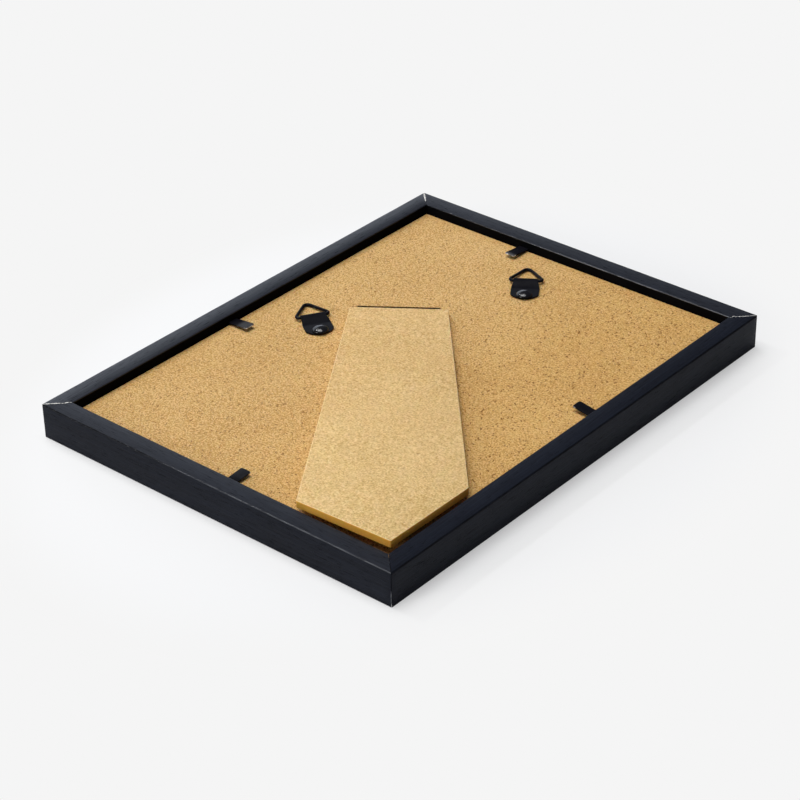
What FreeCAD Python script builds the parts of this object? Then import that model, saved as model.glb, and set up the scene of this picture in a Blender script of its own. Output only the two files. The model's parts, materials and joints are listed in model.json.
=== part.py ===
import FreeCAD, Part
import math
import os

Vector = FreeCAD.Vector

# An easel back photo frame, lying on its front face with its back up, in millimetres and degrees.
# The origin is in the middle of the front face. X runs along the short side, Y along the long side
# to the top of the frame, and Z from the front face to the back.

# Picture and the space that the rabbet leaves around it
picture_width = 150.0
picture_length = 200.0
picture_clearance = 1.0

# Rail section
wall_width = 8.0
lip_reach = 4.0
frame_depth = 14.1
recess_depth = 4.0
front_edge_radius = 0.4
back_edge_radius = 0.25
wall_edge_radius = 0.25
lip_edge_radius = 0.5
corner_radius = 0.4
join_tolerance = 0.000001

# Pack in the rabbet, from the lip to the back
glazing_thickness = 2.0
paper_thickness = 0.25
tape_thickness = 0.3
board_thickness = 3.0
pane_clearance = 0.5
pane_bevel = 0.25

# Corner nails, driven across each mitre
nail_sheet = 0.5
nail_wing = 4.5
nail_height = 7.0
nail_sink = 1.2
nail_inset = 6.0

# Flex tabs, steel strips shot into the rabbet wall
tab_width = 4.6
tab_sheet = 0.5
tab_reach = 9.8
tab_bite = 5.0
tab_lift = 0.5
tab_tip_radius = 0.7
tab_bend_room = 0.3
tab_start_gap = 0.05
tab_along_top = -24.1
tab_along_bottom = 1.9
tab_along_left = -17.0
tab_along_right = 15.6
tab_tilt_top = 6.0
tab_tilt_bottom = 5.0
tab_tilt_left = 5.5
tab_tilt_right = 9.0

# Easel leg, a board cut to stand with the frame upright or on its side
leg_thickness = 3.0
leg_heel_width = 38.4
leg_length = 161.4
leg_tip_shift = 10.8
leg_left_edge = 41.2
leg_right_edge = 41.7
leg_left_turn = 33.3
leg_right_turn = 54.9
leg_side_gap = 2.15
leg_bottom_gap = 3.7
leg_heel_inset = 47.2
leg_closed_gap = 0.05
leg_rest_opening = 1.0

# Hinge tape, drawn through a slit in the board
slit_length = 33.4
slit_width = 1.0
tape_width = 32.4
tape_side_shift = 0.7
heel_gap = 6.5
tape_bend_gap = 0.25
tape_flap_length = 28.0
tape_front_length = 24.0

# Swivel hangers, a folded strap that holds a wire ring on a rivet
strap_sheet = 0.5
strap_width = 11.3
strap_end_reach = 2.65
strap_end_radius = 6.3
strap_fold_start = 5.5
strap_taper_start = 6.0
strap_taper_end = 9.4
knuckle_width = 9.8
knuckle_offset = 10.7
swivel_gap = 0.05
ring_wire = 1.25
ring_play = 0.15
ring_base_width = 14.9
ring_height = 11.9
ring_corner_radius = 1.3
ring_apex_radius = 1.7
ring_wire_gap = 0.4
ring_rest_gap = 0.15
rivet_shank = 3.0
rivet_play = 0.05
rivet_head = 6.4
rivet_head_height = 1.5
rivet_head_rim = 0.35
rivet_tail = 5.6
rivet_tail_height = 0.5
top_hanger_drop = 31.1
top_hanger_shift = 0.2
top_hanger_turn = 123.9
left_hanger_inset = 31.8
left_hanger_drop = 28.8
left_hanger_turn = 147.3

# Worked out from the sizes above
opening_width = picture_width + 2 * picture_clearance
opening_length = picture_length + 2 * picture_clearance
frame_width = opening_width + 2 * wall_width
frame_length = opening_length + 2 * wall_width
rail_reach = wall_width + lip_reach
board_top = frame_depth - recess_depth
board_bottom = board_top - board_thickness
paper_bottom = board_bottom - tape_thickness - paper_thickness
lip_depth = paper_bottom - glazing_thickness
leg_reach = math.hypot(leg_length, leg_tip_shift)
leg_lean = math.asin((opening_width - leg_side_gap - leg_heel_inset) / leg_reach)
leg_turn = math.degrees(leg_lean - math.atan(leg_tip_shift / leg_length))
heel_level = leg_bottom_gap - opening_length / 2 + leg_reach * math.cos(leg_lean)
strap_height = 2 * strap_sheet
ring_radius = ring_wire / 2
knuckle_inner = ring_radius + ring_play
knuckle_outer = knuckle_inner + strap_sheet
strap_bottom = board_top + swivel_gap
knuckle_level = strap_bottom + knuckle_outer
ring_half_apex = math.atan(ring_base_width / 2 / ring_height)
ring_reach = ring_height - ring_apex_radius * (1 / math.sin(ring_half_apex) - 1)
ring_drop = knuckle_outer + swivel_gap - ring_radius - ring_rest_gap
ring_tilt = math.degrees(math.asin(ring_drop / ring_reach))

# Sides of the frame: turn of the rail about Z, its length and where its outer face stands
sides = {
    "bottom": (0, frame_width, Vector(0, -frame_length / 2, 0)),
    "right": (90, frame_length, Vector(frame_width / 2, 0, 0)),
    "top": (180, frame_width, Vector(0, frame_length / 2, 0)),
    "left": (270, frame_length, Vector(-frame_width / 2, 0, 0)),
}
corners = {
    "top_left": (-1, 1),
    "top_right": (1, 1),
    "bottom_left": (-1, -1),
    "bottom_right": (1, -1),
}
# Flex tabs: how far along its rail each one is, towards +X or +Y, and how far its blade is bent up
tabs = {
    "top": (-tab_along_top, tab_tilt_top),
    "bottom": (tab_along_bottom, tab_tilt_bottom),
    "left": (-tab_along_left, tab_tilt_left),
    "right": (tab_along_right, tab_tilt_right),
}
# Hangers: where the rivet is, and which way the ring points
hangers = {
    "top": (top_hanger_shift, opening_length / 2 - top_hanger_drop, top_hanger_turn),
    "left": (left_hanger_inset - opening_width / 2, heel_level - left_hanger_drop, left_hanger_turn),
}


def turned(shape, degrees, place):
    """The shape turned about Z through the origin, then moved."""
    moved = shape.copy()
    moved.rotate(Vector(0, 0, 0), Vector(0, 0, 1), degrees)
    moved.translate(place)
    return moved


def block(x_low, x_high, y_low, y_high, z_low, z_high):
    return Part.makeBox(x_high - x_low, y_high - y_low, z_high - z_low, Vector(x_low, y_low, z_low))


def slab(x_size, y_size, z_low, thickness):
    """A flat sheet with its middle over the origin."""
    return block(-x_size / 2, x_size / 2, -y_size / 2, y_size / 2, z_low, z_low + thickness)


def rounded_wire(points):
    """A closed wire in the XY plane through (x, y, radius) corners, with an arc at each round one."""
    edges = []
    ends = []
    for i, (x, y, radius) in enumerate(points):
        corner = Vector(x, y, 0)
        before = Vector(*points[i - 1][:2], 0) - corner
        after = Vector(*points[(i + 1) % len(points)][:2], 0) - corner
        before.normalize()
        after.normalize()
        half = before.getAngle(after) / 2
        setback = radius / math.tan(half)
        first = corner + before * setback
        last = corner + after * setback
        if radius:
            middle = before + after
            middle.normalize()
            peak = corner + middle * (radius / math.sin(half) - radius)
            edges.append(Part.Arc(first, peak, last).toShape())
        ends.append((first, last))
    for i, (_, last) in enumerate(ends):
        start = ends[(i + 1) % len(ends)][0]
        if last.distanceToPoint(start) > join_tolerance:
            edges.append(Part.LineSegment(last, start).toShape())
    return Part.Wire(Part.__sortEdges__(edges))


def plate(points, z_low, thickness):
    """A flat plate with the outline of rounded_wire."""
    face = Part.Face(rounded_wire(points))
    face.translate(Vector(0, 0, z_low))
    return face.extrude(Vector(0, 0, thickness))


def stood_up(face, length):
    """A face drawn in XY, stood up so that its X runs along Y and its Y along Z, and drawn out along X."""
    raised = face.copy()
    raised.rotate(Vector(0, 0, 0), Vector(1, 1, 1), 120)
    raised.translate(Vector(-length / 2, 0, 0))
    return raised.extrude(Vector(length, 0, 0))


def frame_outline():
    """The block that the whole frame fits in, with its four upright corners eased."""
    x, y = frame_width / 2, frame_length / 2
    return plate(
        [(-x, -y, corner_radius), (x, -y, corner_radius), (x, y, corner_radius), (-x, y, corner_radius)],
        0,
        frame_depth,
    )


def rail(side):
    """One mitred rail: a wall behind the rabbet and a lip in front of it."""
    turn, length, place = sides[side]
    section = rounded_wire(
        [
            (0, 0, front_edge_radius),
            (rail_reach, 0, lip_edge_radius),
            (rail_reach, lip_depth, 0),
            (wall_width, lip_depth, 0),
            (wall_width, frame_depth, wall_edge_radius),
            (0, frame_depth, back_edge_radius),
        ]
    )
    mitre = plate(
        [
            (-length / 2, 0, 0),
            (length / 2, 0, 0),
            (length / 2 - rail_reach, rail_reach, 0),
            (rail_reach - length / 2, rail_reach, 0),
        ],
        0,
        frame_depth,
    )
    solid = stood_up(Part.Face(section), length).common(mitre)
    solid = turned(solid, turn, place).common(frame_outline())
    for corner in corners:
        if side in corner:
            solid = solid.cut(corner_nail(corner))
    return solid.cut(tab_root(side))


def corner_nail(corner):
    """A V of steel sheet across the mitre, sunk below the back face, with one wing in each rail."""
    x_sign, y_sign = corners[corner]
    near, far, inner = nail_inset, nail_inset - nail_wing, nail_inset - nail_sheet
    shape = [(near, near), (far, near), (far, inner), (inner, inner), (inner, far), (near, far)]
    outline = [(x_sign * (frame_width / 2 - x), y_sign * (frame_length / 2 - y), 0) for x, y in shape]
    return plate(outline, frame_depth - nail_sink - nail_height, nail_height)


def tab_bend(side):
    """The line that a tab bends on, in its rail's own frame: a point on it."""
    along = tabs[side][0]
    return Vector(along, wall_width + tab_bend_room, board_top + tab_lift + tab_sheet / 2)


def tab_root(side):
    """The end of a flex tab that is driven into the wood, up to the rabbet wall."""
    turn, _, place = sides[side]
    bend = tab_bend(side)
    root = block(
        bend.x - tab_width / 2,
        bend.x + tab_width / 2,
        wall_width - tab_bite,
        wall_width,
        bend.z - tab_sheet / 2,
        bend.z + tab_sheet / 2,
    )
    return turned(root, turn, place)


def tab_blade(side):
    """The free end of a flex tab, which holds the board down and bends up to let it out."""
    turn, _, place = sides[side]
    bend = tab_bend(side)
    x = tab_width / 2
    tip = tab_reach - tab_bend_room
    blade = plate(
        [(-x, tab_start_gap, 0), (x, tab_start_gap, 0), (x, tip, tab_tip_radius), (-x, tip, tab_tip_radius)],
        -tab_sheet / 2,
        tab_sheet,
    )
    blade.rotate(Vector(0, 0, 0), Vector(1, 0, 0), tabs[side][1])
    blade.translate(bend)
    return turned(blade, turn, place)


def glazing():
    sheet = slab(opening_width - 2 * pane_clearance, opening_length - 2 * pane_clearance, lip_depth, glazing_thickness)
    return sheet.makeChamfer(pane_bevel, sheet.Edges)


def picture_insert():
    return slab(picture_width, picture_length, paper_bottom, paper_thickness)


def leg_point(along_hinge, down_leg, level):
    """A point given along the hinge, down the leg from the heel, and above the front face."""
    angle = math.radians(leg_turn)
    down = Vector(math.sin(angle), -math.cos(angle), 0)
    hinge = Vector(math.cos(angle), math.sin(angle), 0)
    tip = Vector(opening_width / 2 - leg_side_gap, leg_bottom_gap - opening_length / 2, level)
    return tip + hinge * (along_hinge - leg_tip_shift) + down * (down_leg - leg_length)


def on_leg(shape):
    """A shape drawn from the heel's middle, with X along the hinge and -Y down the leg, put in its place."""
    return turned(shape, leg_turn, leg_point(0, 0, board_top))


def opened(shape):
    """The leg's pieces are drawn folded flat, and rest a little open."""
    level = leg_closed_gap + tape_thickness / 2
    lifted = shape.copy()
    lifted.rotate(Vector(0, 0, level), Vector(-1, 0, 0), leg_rest_opening)
    return on_leg(lifted)


def easel_leg():
    left = math.radians(leg_left_turn)
    right = math.radians(leg_right_turn)
    outline = [
        (-leg_heel_width / 2, 0, 0),
        (leg_heel_width / 2, 0, 0),
        (leg_tip_shift + leg_right_edge * math.cos(right), leg_right_edge * math.sin(right) - leg_length, 0),
        (leg_tip_shift, -leg_length, 0),
        (leg_tip_shift - leg_left_edge * math.cos(left), leg_left_edge * math.sin(left) - leg_length, 0),
    ]
    return opened(plate(outline, leg_closed_gap + tape_thickness, leg_thickness))


def hinge_tape_flap():
    """The end of the tape that is glued under the leg."""
    x = tape_width / 2
    strip = block(
        -x,
        x,
        -tape_bend_gap - tape_flap_length,
        -tape_bend_gap,
        leg_closed_gap,
        leg_closed_gap + tape_thickness,
    )
    strip.translate(Vector(-tape_side_shift, 0, 0))
    return opened(strip)


def hinge_tape_root():
    """The end of the tape that is glued to the board's front, comes up the slit and lies on its back."""
    x = tape_width / 2
    wall = heel_gap - slit_width / 2
    front = block(-x, x, wall, wall + tape_front_length, -board_thickness - tape_thickness, -board_thickness)
    riser = block(-x, x, wall, wall + tape_thickness, -board_thickness, tape_thickness)
    back = block(-x, x, tape_bend_gap, wall, 0, tape_thickness)
    strip = front.fuse([riser, back]).removeSplitter()
    strip.translate(Vector(-tape_side_shift, 0, 0))
    return on_leg(strip)


def hinge_slit():
    x = slit_length / 2
    cut = block(-x, x, heel_gap - slit_width / 2, heel_gap + slit_width / 2, -board_thickness, 0)
    cut.translate(Vector(-tape_side_shift, 0, 0))
    return on_leg(cut)


def backboard():
    board = slab(
        opening_width - 2 * pane_clearance, opening_length - 2 * pane_clearance, board_bottom, board_thickness
    )
    board = board.cut(hinge_slit())
    for side in hangers:
        board = board.cut(rivet(side))
    return board


def on_board(shape, side):
    """A hanger piece drawn on its rivet's axis with X towards the ring, put in its place."""
    x, y, turn = hangers[side]
    return turned(shape, turn, Vector(x, y, 0))


def rivet(side):
    """A domed rivet through the strap and the board, spread flat in the board's front."""
    head = strap_bottom + strap_height + swivel_gap
    crown = head + rivet_head_height
    rim = head + rivet_head_rim
    tail = board_bottom + rivet_tail_height
    radius = rivet_head / 2
    rise = crown - rim
    dome = (radius ** 2 + rise ** 2) / (2 * rise)
    slope = math.asin(radius / dome) / 2
    middle = Vector(dome * math.sin(slope), 0, crown - dome + dome * math.cos(slope))
    corner = [
        Vector(0, 0, crown),
        Vector(0, 0, board_bottom),
        Vector(rivet_tail / 2, 0, board_bottom),
        Vector(rivet_tail / 2, 0, tail),
        Vector(rivet_shank / 2, 0, tail),
        Vector(rivet_shank / 2, 0, head),
        Vector(radius, 0, head),
        Vector(radius, 0, rim),
    ]
    edges = [Part.LineSegment(a, b).toShape() for a, b in zip(corner, corner[1:])]
    edges.append(Part.Arc(corner[-1], middle, corner[0]).toShape())
    section = Part.Face(Part.Wire(edges))
    return on_board(section.revolve(Vector(0, 0, 0), Vector(0, 0, 1), 360), side)


def strap_side_view():
    """The folded strap seen from its side, with the knuckle that wraps the ring's wire."""
    knuckle = Vector(knuckle_offset, knuckle_outer, 0)
    low = Vector(-strap_end_reach, 0, 0)
    high = Vector(-strap_end_reach, strap_height, 0)
    fold = Vector(strap_fold_start, strap_height, 0)
    under = knuckle - Vector(0, knuckle_outer, 0)
    over = knuckle + Vector(0, knuckle_outer, 0)
    skin = [
        Part.LineSegment(low, under).toShape(),
        Part.Arc(under, knuckle + Vector(knuckle_outer, 0, 0), over).toShape(),
        Part.LineSegment(over, fold).toShape(),
        Part.LineSegment(fold, high).toShape(),
        Part.LineSegment(high, low).toShape(),
    ]
    nip = Vector(strap_fold_start, strap_sheet, 0)
    floor = knuckle - Vector(0, knuckle_inner, 0)
    roof = knuckle + Vector(0, knuckle_inner, 0)
    hollow = [
        Part.LineSegment(nip, floor).toShape(),
        Part.Arc(floor, knuckle + Vector(knuckle_inner, 0, 0), roof).toShape(),
        Part.LineSegment(roof, nip).toShape(),
    ]
    return Part.Face(Part.Wire(skin)).cut(Part.Face(Part.Wire(hollow)))


def strap_outline():
    """The strap seen from above: a shallow round end, straight sides and a narrower knuckle."""
    half, knuckle, front = strap_width / 2, knuckle_width / 2, knuckle_offset + knuckle_outer
    corner = strap_end_radius - strap_end_reach - math.sqrt(strap_end_radius ** 2 - half ** 2)
    side = [
        Vector(corner, half, 0),
        Vector(strap_taper_start, half, 0),
        Vector(strap_taper_end, knuckle, 0),
        Vector(front, knuckle, 0),
    ]
    outline = side + [Vector(point.x, -point.y, 0) for point in reversed(side)]
    edges = [Part.LineSegment(a, b).toShape() for a, b in zip(outline, outline[1:])]
    edges.append(Part.Arc(outline[-1], Vector(-strap_end_reach, 0, 0), outline[0]).toShape())
    face = Part.Face(Part.Wire(edges))
    face.translate(Vector(0, 0, strap_bottom))
    return face.extrude(Vector(0, 0, 2 * knuckle_outer))


def hanger_strap(side):
    view = strap_side_view()
    view.rotate(Vector(0, 0, 0), Vector(1, 0, 0), 90)
    view.translate(Vector(0, strap_width / 2, strap_bottom))
    folded = view.extrude(Vector(0, -strap_width, 0))
    bore = Part.makeCylinder(rivet_shank / 2 + rivet_play, strap_height, Vector(0, 0, strap_bottom))
    return on_board(folded.common(strap_outline()).cut(bore), side)


def hanger_ring(side):
    """A triangle of round wire, whose ends meet inside the knuckle, with its apex down on the board."""
    half = ring_base_width / 2
    loop = rounded_wire(
        [(0, -half, ring_corner_radius), (ring_height, 0, ring_apex_radius), (0, half, ring_corner_radius)]
    )
    gap = block(-ring_radius, ring_radius, -ring_wire_gap / 2, ring_wire_gap / 2, -ring_radius, ring_radius)
    start = Vector(0, -ring_wire_gap / 2, 0)
    path = Part.Wire(Part.__sortEdges__(loop.cut(gap).Edges))
    section = Part.Wire(Part.Circle(start, Vector(0, 1, 0), ring_radius).toShape())
    wire = path.makePipeShell([section], True, False)
    wire.rotate(Vector(0, 0, 0), Vector(0, 1, 0), ring_tilt)
    wire.translate(Vector(knuckle_offset, 0, knuckle_level))
    return on_board(wire, side)


def joint_lines():
    """Where each moving piece turns: its name, a point on the axis, and the axis."""
    angle = math.radians(leg_turn)
    heel = leg_point(0, 0, board_top + leg_closed_gap + tape_thickness / 2)
    lines = [("leg_hinge", heel, Vector(-math.cos(angle), -math.sin(angle), 0))]
    for side, (turn, _, place) in sides.items():
        bend = Part.Vertex(tab_bend(side))
        axis = FreeCAD.Rotation(Vector(0, 0, 1), turn).multVec(Vector(1, 0, 0))
        lines.append(("tab_bend_" + side, turned(bend, turn, place).Point, axis))
    for side, (x, y, turn) in hangers.items():
        spin = FreeCAD.Rotation(Vector(0, 0, 1), turn)
        knuckle = Vector(x, y, 0) + spin.multVec(Vector(knuckle_offset, 0, knuckle_level))
        lines.append(("hanger_swivel_" + side, Vector(x, y, strap_bottom), Vector(0, 0, 1)))
        lines.append(("ring_hinge_" + side, knuckle, spin.multVec(Vector(0, -1, 0))))
    return lines


pieces = {
    "glazing": glazing(),
    "picture_insert": picture_insert(),
    "backboard": backboard(),
    "easel_leg": easel_leg(),
    "hinge_tape_root": hinge_tape_root(),
    "hinge_tape_flap": hinge_tape_flap(),
}
for side in sides:
    pieces[side + "_rail"] = rail(side)
    pieces["flex_tab_root_" + side] = tab_root(side)
    pieces["flex_tab_" + side] = tab_blade(side)
for corner in corners:
    pieces["corner_nail_" + corner] = corner_nail(corner)
for side in hangers:
    pieces["hanger_strap_" + side] = hanger_strap(side)
    pieces["hanger_ring_" + side] = hanger_ring(side)
    pieces["hanger_rivet_" + side] = rivet(side)

os.makedirs("parts", exist_ok=True)
for name, shape in pieces.items():
    solids = shape.Solids
    solid = solids[0] if len(solids) == 1 else shape
    solid.exportStep("parts/" + name + ".step")
    print(name, len(solids), shape.isValid(), round(shape.Volume, 3))
for name, point, axis in joint_lines():
    print("joint", name, [round(v, 4) for v in point], [round(v, 6) for v in axis])
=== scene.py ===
import json
import math

import bmesh
import bpy
from bpy.props import FloatProperty, FloatVectorProperty, IntProperty, PointerProperty
from mathutils import Euler, Matrix, Vector, noise


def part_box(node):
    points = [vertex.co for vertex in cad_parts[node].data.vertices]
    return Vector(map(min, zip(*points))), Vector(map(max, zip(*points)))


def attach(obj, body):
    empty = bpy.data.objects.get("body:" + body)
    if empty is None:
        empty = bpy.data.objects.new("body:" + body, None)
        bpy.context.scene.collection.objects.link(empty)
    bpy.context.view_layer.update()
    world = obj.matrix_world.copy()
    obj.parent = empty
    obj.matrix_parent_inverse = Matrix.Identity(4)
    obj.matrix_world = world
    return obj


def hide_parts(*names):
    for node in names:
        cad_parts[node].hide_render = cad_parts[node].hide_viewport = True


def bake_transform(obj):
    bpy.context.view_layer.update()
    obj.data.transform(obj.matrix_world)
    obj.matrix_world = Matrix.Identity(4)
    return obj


bl_info = {
    "name": "Easel Back Photo Frame",
    "version": (1, 0, 0),
    "blender": (4, 5, 0),
    "location": "3D View > Sidebar > Photo Frame",
    "description": "Finishes an easel back photo frame that lies face down",
    "category": "Add Mesh",
}

# The frame lies on its front face with its back up. X runs along its short side, Y along its long side.
MM = 0.001
SIDES = ("bottom", "right", "top", "left")
HANGERS = ("top", "left")
UP = Vector((0, 0, 1))

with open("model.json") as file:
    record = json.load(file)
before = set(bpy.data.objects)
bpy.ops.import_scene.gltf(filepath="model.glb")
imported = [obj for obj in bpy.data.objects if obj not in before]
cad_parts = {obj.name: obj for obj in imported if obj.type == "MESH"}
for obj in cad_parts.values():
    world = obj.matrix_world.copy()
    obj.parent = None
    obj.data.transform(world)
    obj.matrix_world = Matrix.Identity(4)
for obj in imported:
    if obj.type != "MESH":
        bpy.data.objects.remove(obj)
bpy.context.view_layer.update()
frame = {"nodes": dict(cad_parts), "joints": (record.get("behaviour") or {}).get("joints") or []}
joints = {joint["name"]: joint for joint in frame["joints"]}
board_low, board_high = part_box("backboard")
rail_low, rail_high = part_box("left_rail")
half_width, half_length = -rail_low.x, rail_high.y
frame_depth = rail_high.z


def length_prop(name, description, millimetres):
    """A property for a size that is given in millimetres."""
    return FloatProperty(
        name=name, description=description, default=millimetres * MM, unit="LENGTH", precision=5
    )


def number_prop(name, description, number):
    return FloatProperty(name=name, description=description, default=number)


def count_prop(name, description, count):
    return IntProperty(name=name, description=description, default=count)


def angle_prop(name, description, degrees):
    return FloatProperty(name=name, description=description, default=math.radians(degrees), subtype="ANGLE")


def power_prop(name, description, watts):
    return FloatProperty(name=name, description=description, default=watts, unit="POWER")


def place_prop(name, description, place):
    return FloatVectorProperty(
        name=name, description=description, default=place, subtype="TRANSLATION", unit="LENGTH"
    )


def colour_prop(name, description, red, green, blue):
    return FloatVectorProperty(
        name=name, description=description, default=(red, green, blue), subtype="COLOR", size=3, min=0, max=1
    )


class RailSizes(bpy.types.PropertyGroup):
    """The mitred wooden rails."""

    wall: length_prop("Wall", "Width of the rail behind the rabbet", 8.0)
    lip_depth: length_prop("Lip depth", "Thickness of the lip in front of the glass", 4.55)
    front_edge: length_prop("Front edge", "Rounding of the front outer edge", 0.4)
    lip_edge: length_prop("Lip edge", "Rounding of the lip at the picture", 0.5)
    back_edge: length_prop("Back edge", "Rounding of the back outer edge", 0.25)
    wall_edge: length_prop("Wall edge", "Rounding of the back inner edge", 0.25)
    corner: length_prop("Corner", "Rounding of the upright outer corners", 0.4)
    mitre_gap: length_prop("Mitre gap", "Gap that is left in each mitre", 0.002)
    waviness: length_prop("Waviness", "How far hand sanding moved the edges", 0.05)
    wave_length: length_prop("Wave length", "Length of one wave along an edge", 14.0)
    wave_width: length_prop("Wave width", "Width of one wave across a rail", 5.0)
    cut_step: length_prop("Cut step", "Distance between the cuts along a rail", 4.0)
    edge_steps: count_prop("Edge steps", "Faces across a rounded edge", 4)
    corner_steps: count_prop("Corner steps", "Faces across half a corner", 4)


class LegSizes(bpy.types.PropertyGroup):
    """The easel leg, measured from the middle of its heel."""

    thickness: length_prop("Thickness", "Thickness of the board it is cut from", 3.0)
    heel_width: length_prop("Heel width", "Width at the hinge", 38.4)
    length: length_prop("Length", "From the hinge to the tip", 161.4)
    tip_shift: length_prop("Tip shift", "How far the tip lies to the right", 10.8)
    left_edge: length_prop("Left edge", "Length of the cut to the left of the tip", 41.2)
    right_edge: length_prop("Right edge", "Length of the cut to the right of the tip", 41.7)
    left_turn: angle_prop("Left turn", "Slope of the left cut", 33.3)
    right_turn: angle_prop("Right turn", "Slope of the right cut", 54.9)
    opening: angle_prop("Opening", "How far it stands open at rest", 1.0)
    edge: length_prop("Edge", "Rounding of the sawn edges", 0.22)
    corner: length_prop("Corner", "Rounding of the corners in plan", 0.35)


class TapeSizes(bpy.types.PropertyGroup):
    """The cloth tape that is the leg's hinge."""

    thickness: length_prop("Thickness", "Thickness of the cloth", 0.3)
    width: length_prop("Width", "Width of the tape", 32.4)
    side_shift: length_prop("Side shift", "How far it lies to the left of the heel's middle", 0.7)
    back_run: length_prop("Back run", "From the heel to the slit's near wall", 6.0)
    flap: length_prop("Flap", "Length under the leg", 28.25)
    front_run: length_prop("Front run", "Length on the board's front", 23.7)
    fold: length_prop("Fold", "Half the length of tape that bends at the heel", 0.9)
    step: length_prop("Step", "Distance between the rows of the mesh", 0.8)


class TabSizes(bpy.types.PropertyGroup):
    """The steel flex tabs that hold the board down."""

    width: length_prop("Width", "Width of the strip", 4.6)
    sheet: length_prop("Sheet", "Thickness of the strip", 0.5)
    bite: length_prop("Bite", "Length that is driven into the wood", 5.0)
    bend_room: length_prop("Bend room", "From the wall to the bend", 0.3)
    blade: length_prop("Blade", "Length from the bend to the tip", 9.5)
    tip: length_prop("Tip", "Rounding of the tip's corners", 0.7)
    edge: length_prop("Edge", "Rounding of the sheared edges", 0.09)
    fold: length_prop("Fold", "Half the length that bends", 0.5)
    step: length_prop("Step", "Distance between the cuts across the strip", 0.5)


class HangerSizes(bpy.types.PropertyGroup):
    """The swivel hangers: a folded strap, a wire ring and a rivet."""

    sheet: length_prop("Sheet", "Thickness of the strap's sheet", 0.5)
    width: length_prop("Width", "Width of the strap at the rivet", 11.3)
    neck: length_prop("Neck", "Width of the strap at the knuckle", 9.8)
    end: length_prop("End", "How far the strap reaches behind the rivet", 2.65)
    end_radius: length_prop("End radius", "Radius of the strap's round end", 6.3)
    taper_start: length_prop("Taper start", "From the rivet to where the strap gets narrower", 6.0)
    taper_end: length_prop("Taper end", "From the rivet to where the neck starts", 9.4)
    fold_start: length_prop("Fold start", "From the rivet to where the two layers part", 5.5)
    knuckle: length_prop("Knuckle", "From the rivet to the ring's wire", 10.7)
    lift: length_prop("Lift", "Gap under the strap", 0.05)
    wire: length_prop("Wire", "Thickness of the ring's wire", 1.25)
    play: length_prop("Play", "Gap round the wire in the knuckle", 0.15)
    ring_width: length_prop("Ring width", "Width of the ring at its base", 14.9)
    ring_height: length_prop("Ring height", "Height of the ring's triangle", 11.9)
    ring_corner: length_prop("Ring corner", "Rounding at the base", 1.3)
    ring_apex: length_prop("Ring apex", "Rounding at the top", 1.7)
    ring_gap: length_prop("Ring gap", "Gap between the wire's ends", 0.4)
    ring_rest: length_prop("Ring rest", "Gap under the ring's top", 0.15)
    head: length_prop("Head", "Width of the rivet's head", 6.4)
    head_height: length_prop("Head height", "Height of the rivet's head", 1.5)
    head_rim: length_prop("Head rim", "Height of the head's upright rim", 0.35)
    shank: length_prop("Shank", "Thickness of the rivet's shank", 3.0)
    tail: length_prop("Tail", "Width of the rivet's spread tail", 5.6)
    tail_height: length_prop("Tail height", "Thickness of the spread tail", 0.5)
    dent: length_prop("Dent", "Depth of the marks that setting left in the head", 0.09)
    layer_steps: count_prop("Layer steps", "Faces along a layer of the strap", 24)
    strap_columns: count_prop("Strap columns", "Faces across the strap", 12)
    knuckle_steps: count_prop("Knuckle steps", "Faces round the knuckle", 12)
    wire_steps: count_prop("Wire steps", "Faces round the wire", 20)
    head_rings: count_prop("Head rings", "Faces from the head's rim to its top", 8)
    head_steps: count_prop("Head steps", "Faces round the head", 40)


class Finishes(bpy.types.PropertyGroup):
    """The colours, as they are seen in plain light."""

    paint: colour_prop("Paint", "Black paint on the rails", 0.0036, 0.0045, 0.0090)
    paint_grain: colour_prop("Paint grain", "Paint on the raised grain", 0.0085, 0.0112, 0.0200)
    # Rubbed paint, which also serves as the painted highlight on some of the rails' edges
    paint_wear_and_highlight: colour_prop("Paint wear", "Paint that is rubbed thin on an edge", 0.23, 0.24, 0.26)
    chipped_wood: colour_prop("Chipped wood", "Bare wood and filler in the mitres", 0.80, 0.78, 0.74)
    board: colour_prop("Board", "Fibreboard of the back", 0.620, 0.390, 0.151)
    board_dark: colour_prop("Board specks", "Dark specks in the board", 0.24, 0.11, 0.03)
    board_light: colour_prop("Board fibres", "Pale fibres in the board", 0.76, 0.56, 0.30)
    leg: colour_prop("Leg", "Fibreboard of the leg", 0.665, 0.447, 0.193)
    leg_dark: colour_prop("Leg specks", "Dark specks in the leg", 0.36, 0.19, 0.06)
    leg_light: colour_prop("Leg fibres", "Pale fibres in the leg", 0.80, 0.62, 0.34)
    sawn: colour_prop("Sawn edge", "Sawn edges of the leg", 0.95, 0.50, 0.08)
    lacquer: colour_prop("Lacquer", "Black lacquer on the metal parts", 0.0030, 0.0029, 0.0044)
    steel: colour_prop("Steel", "Bare steel", 0.55, 0.56, 0.58)
    paper: colour_prop("Paper", "The sheet behind the glass", 0.86, 0.855, 0.83)
    tape: colour_prop("Tape", "Threads of the hinge tape", 0.012, 0.008, 0.006)


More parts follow.
